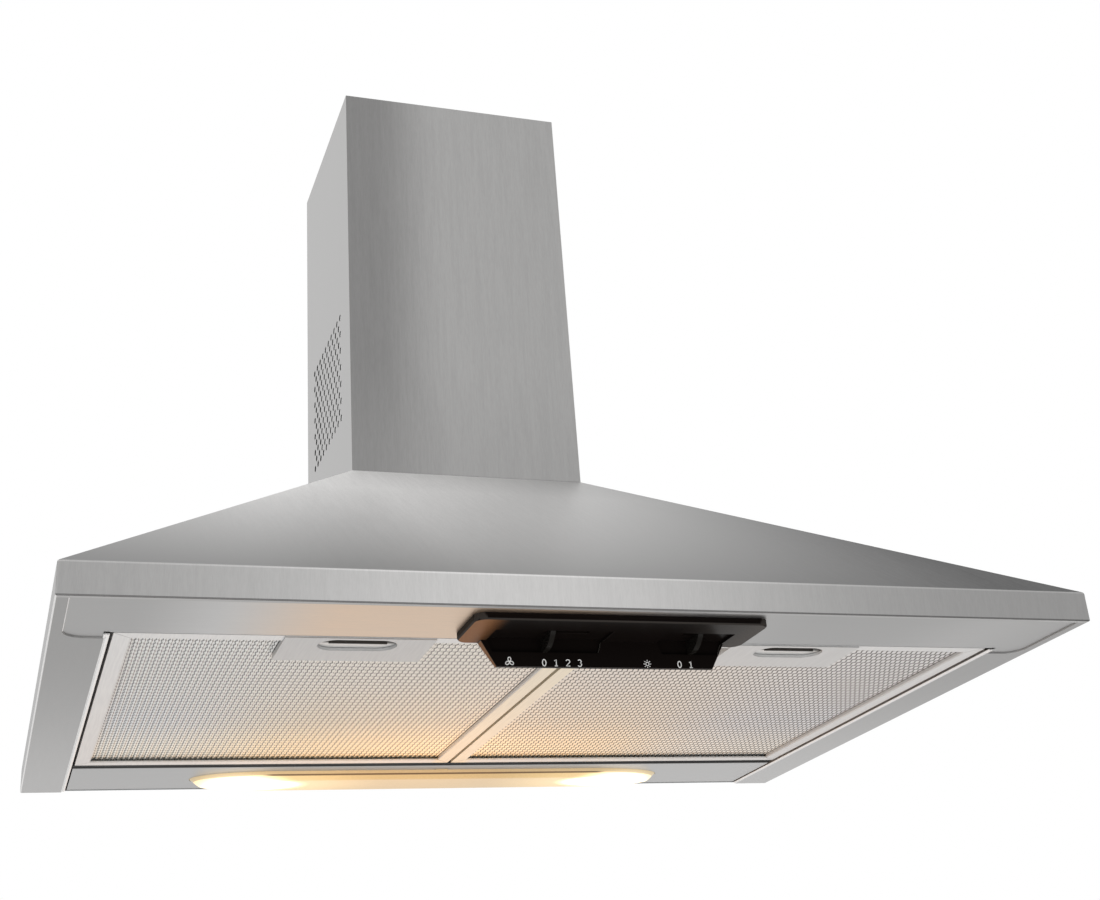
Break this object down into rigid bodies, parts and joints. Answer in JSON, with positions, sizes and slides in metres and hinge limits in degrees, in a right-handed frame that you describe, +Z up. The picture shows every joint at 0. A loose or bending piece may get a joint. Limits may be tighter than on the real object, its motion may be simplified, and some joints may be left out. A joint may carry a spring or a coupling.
{
  "type": "wall chimney range hood",
  "caption": "Pyramid-shaped stainless chimney hood for a wall, with ribbed grease filters, a lit lamp cover, slide controls under the front edge, and a blower with duct outlet inside.",
  "frame": {"origin": "on the wall plane, at the centre of the four wall-screw holes of the back plate", "axes": "+Y into the wall, +Z up, +X to the right as seen from the room"},
  "size_m": [0.598, 0.47, 0.5422],
  "materials": {
    "stainless": "brushed",
    "galvanised": "matte",
    "filter_aluminium": "satin",
    "diffuser": "translucent",
    "lamp_glass": "frosted",
    "black_plastic": "satin",
    "white_plastic": "matte",
    "grey_plastic": "matte",
    "motor_paint": "satin",
    "bare_steel": "polished",
    "circuit_board": "matte"
  },
  "bodies": {
    "hood": {"canopy": "stainless", "chimney": "stainless", "front_panel": "stainless", "lamp_panel": "stainless", "back_plate": "galvanised", "chimney_bracket": "galvanised", "mounting_plate": "galvanised", "lamp_tray": "galvanised", "scroll_left": "galvanised", "scroll_right": "galvanised", "motor_bracket": "galvanised", "lamp_left": "lamp_glass", "lamp_right": "lamp_glass", "lamp_socket_left": "white_plastic", "lamp_socket_right": "white_plastic", "control_panel": "black_plastic", "switch_board": "circuit_board", "motor": "motor_paint", "motor_screws": "bare_steel", "blower_screws": "bare_steel", "outlet_spigot": "black_plastic", "flap_pins": "bare_steel", "cable_gland": "black_plastic", "terminal_box": "white_plastic"},
    "filter_left": {"filter_frame_left": "filter_aluminium", "filter_mesh_left": "filter_aluminium", "filter_handle_left": "filter_aluminium"},
    "filter_right": {"filter_frame_right": "filter_aluminium", "filter_mesh_right": "filter_aluminium", "filter_handle_right": "filter_aluminium"},
    "latch_left": {"filter_latch_left": "filter_aluminium"},
    "latch_right": {"filter_latch_right": "filter_aluminium"},
    "lamp_cover": {"lamp_cover": "diffuser", "lamp_cover_rim": "diffuser"},
    "fan_slider": {"fan_slider": "black_plastic"},
    "lamp_slider": {"lamp_slider": "black_plastic"},
    "rotor": {"impeller": "grey_plastic", "motor_shaft": "bare_steel"},
    "flap_front": {"flap_front": "grey_plastic"},
    "flap_rear": {"flap_rear": "grey_plastic"}
  },
  "joints": [
    {"name": "filter_left_swing", "type": "hinge", "parent": "hood", "child": "filter_left", "pos_m": [-0.1338, -0.0746, -0.098], "axis": [1, 0, 0], "range_deg": [0, 60]},
    {"name": "latch_left_slide", "type": "slide", "parent": "filter_left", "child": "latch_left", "axis": [0, 1, 0], "range_m": [0, 0.006], "stiffness_N_per_m": 150, "springref_m": -0.004},
    {"name": "filter_right_swing", "type": "hinge", "parent": "hood", "child": "filter_right", "pos_m": [0.1338, -0.0746, -0.098], "axis": [1, 0, 0], "range_deg": [0, 60]},
    {"name": "latch_right_slide", "type": "slide", "parent": "filter_right", "child": "latch_right", "axis": [0, 1, 0], "range_m": [0, 0.006], "stiffness_N_per_m": 150, "springref_m": -0.004},
    {"name": "lamp_cover_swing", "type": "hinge", "parent": "hood", "child": "lamp_cover", "pos_m": [0, -0.0095, -0.105], "axis": [1, 0, 0], "range_deg": [0, 85]},
    {"name": "fan_slider_slide", "type": "slide", "parent": "hood", "child": "fan_slider", "axis": [1, 0, 0], "range_m": [0, 0.021]},
    {"name": "lamp_slider_slide", "type": "slide", "parent": "hood", "child": "lamp_slider", "axis": [1, 0, 0], "range_m": [-0.007, 0]},
    {"name": "rotor_spin", "type": "hinge", "parent": "hood", "child": "rotor", "pos_m": [0, -0.1285, 0.002], "axis": [1, 0, 0], "continuous": true},
    {"name": "flap_front_swing", "type": "hinge", "parent": "hood", "child": "flap_front", "pos_m": [0, -0.0901, 0.1181], "axis": [-1, 0, 0], "range_deg": [0, 80]},
    {"name": "flap_rear_swing", "type": "hinge", "parent": "hood", "child": "flap_rear", "pos_m": [0, -0.0829, 0.1181], "axis": [1, 0, 0], "range_deg": [0, 80]}
  ]
}
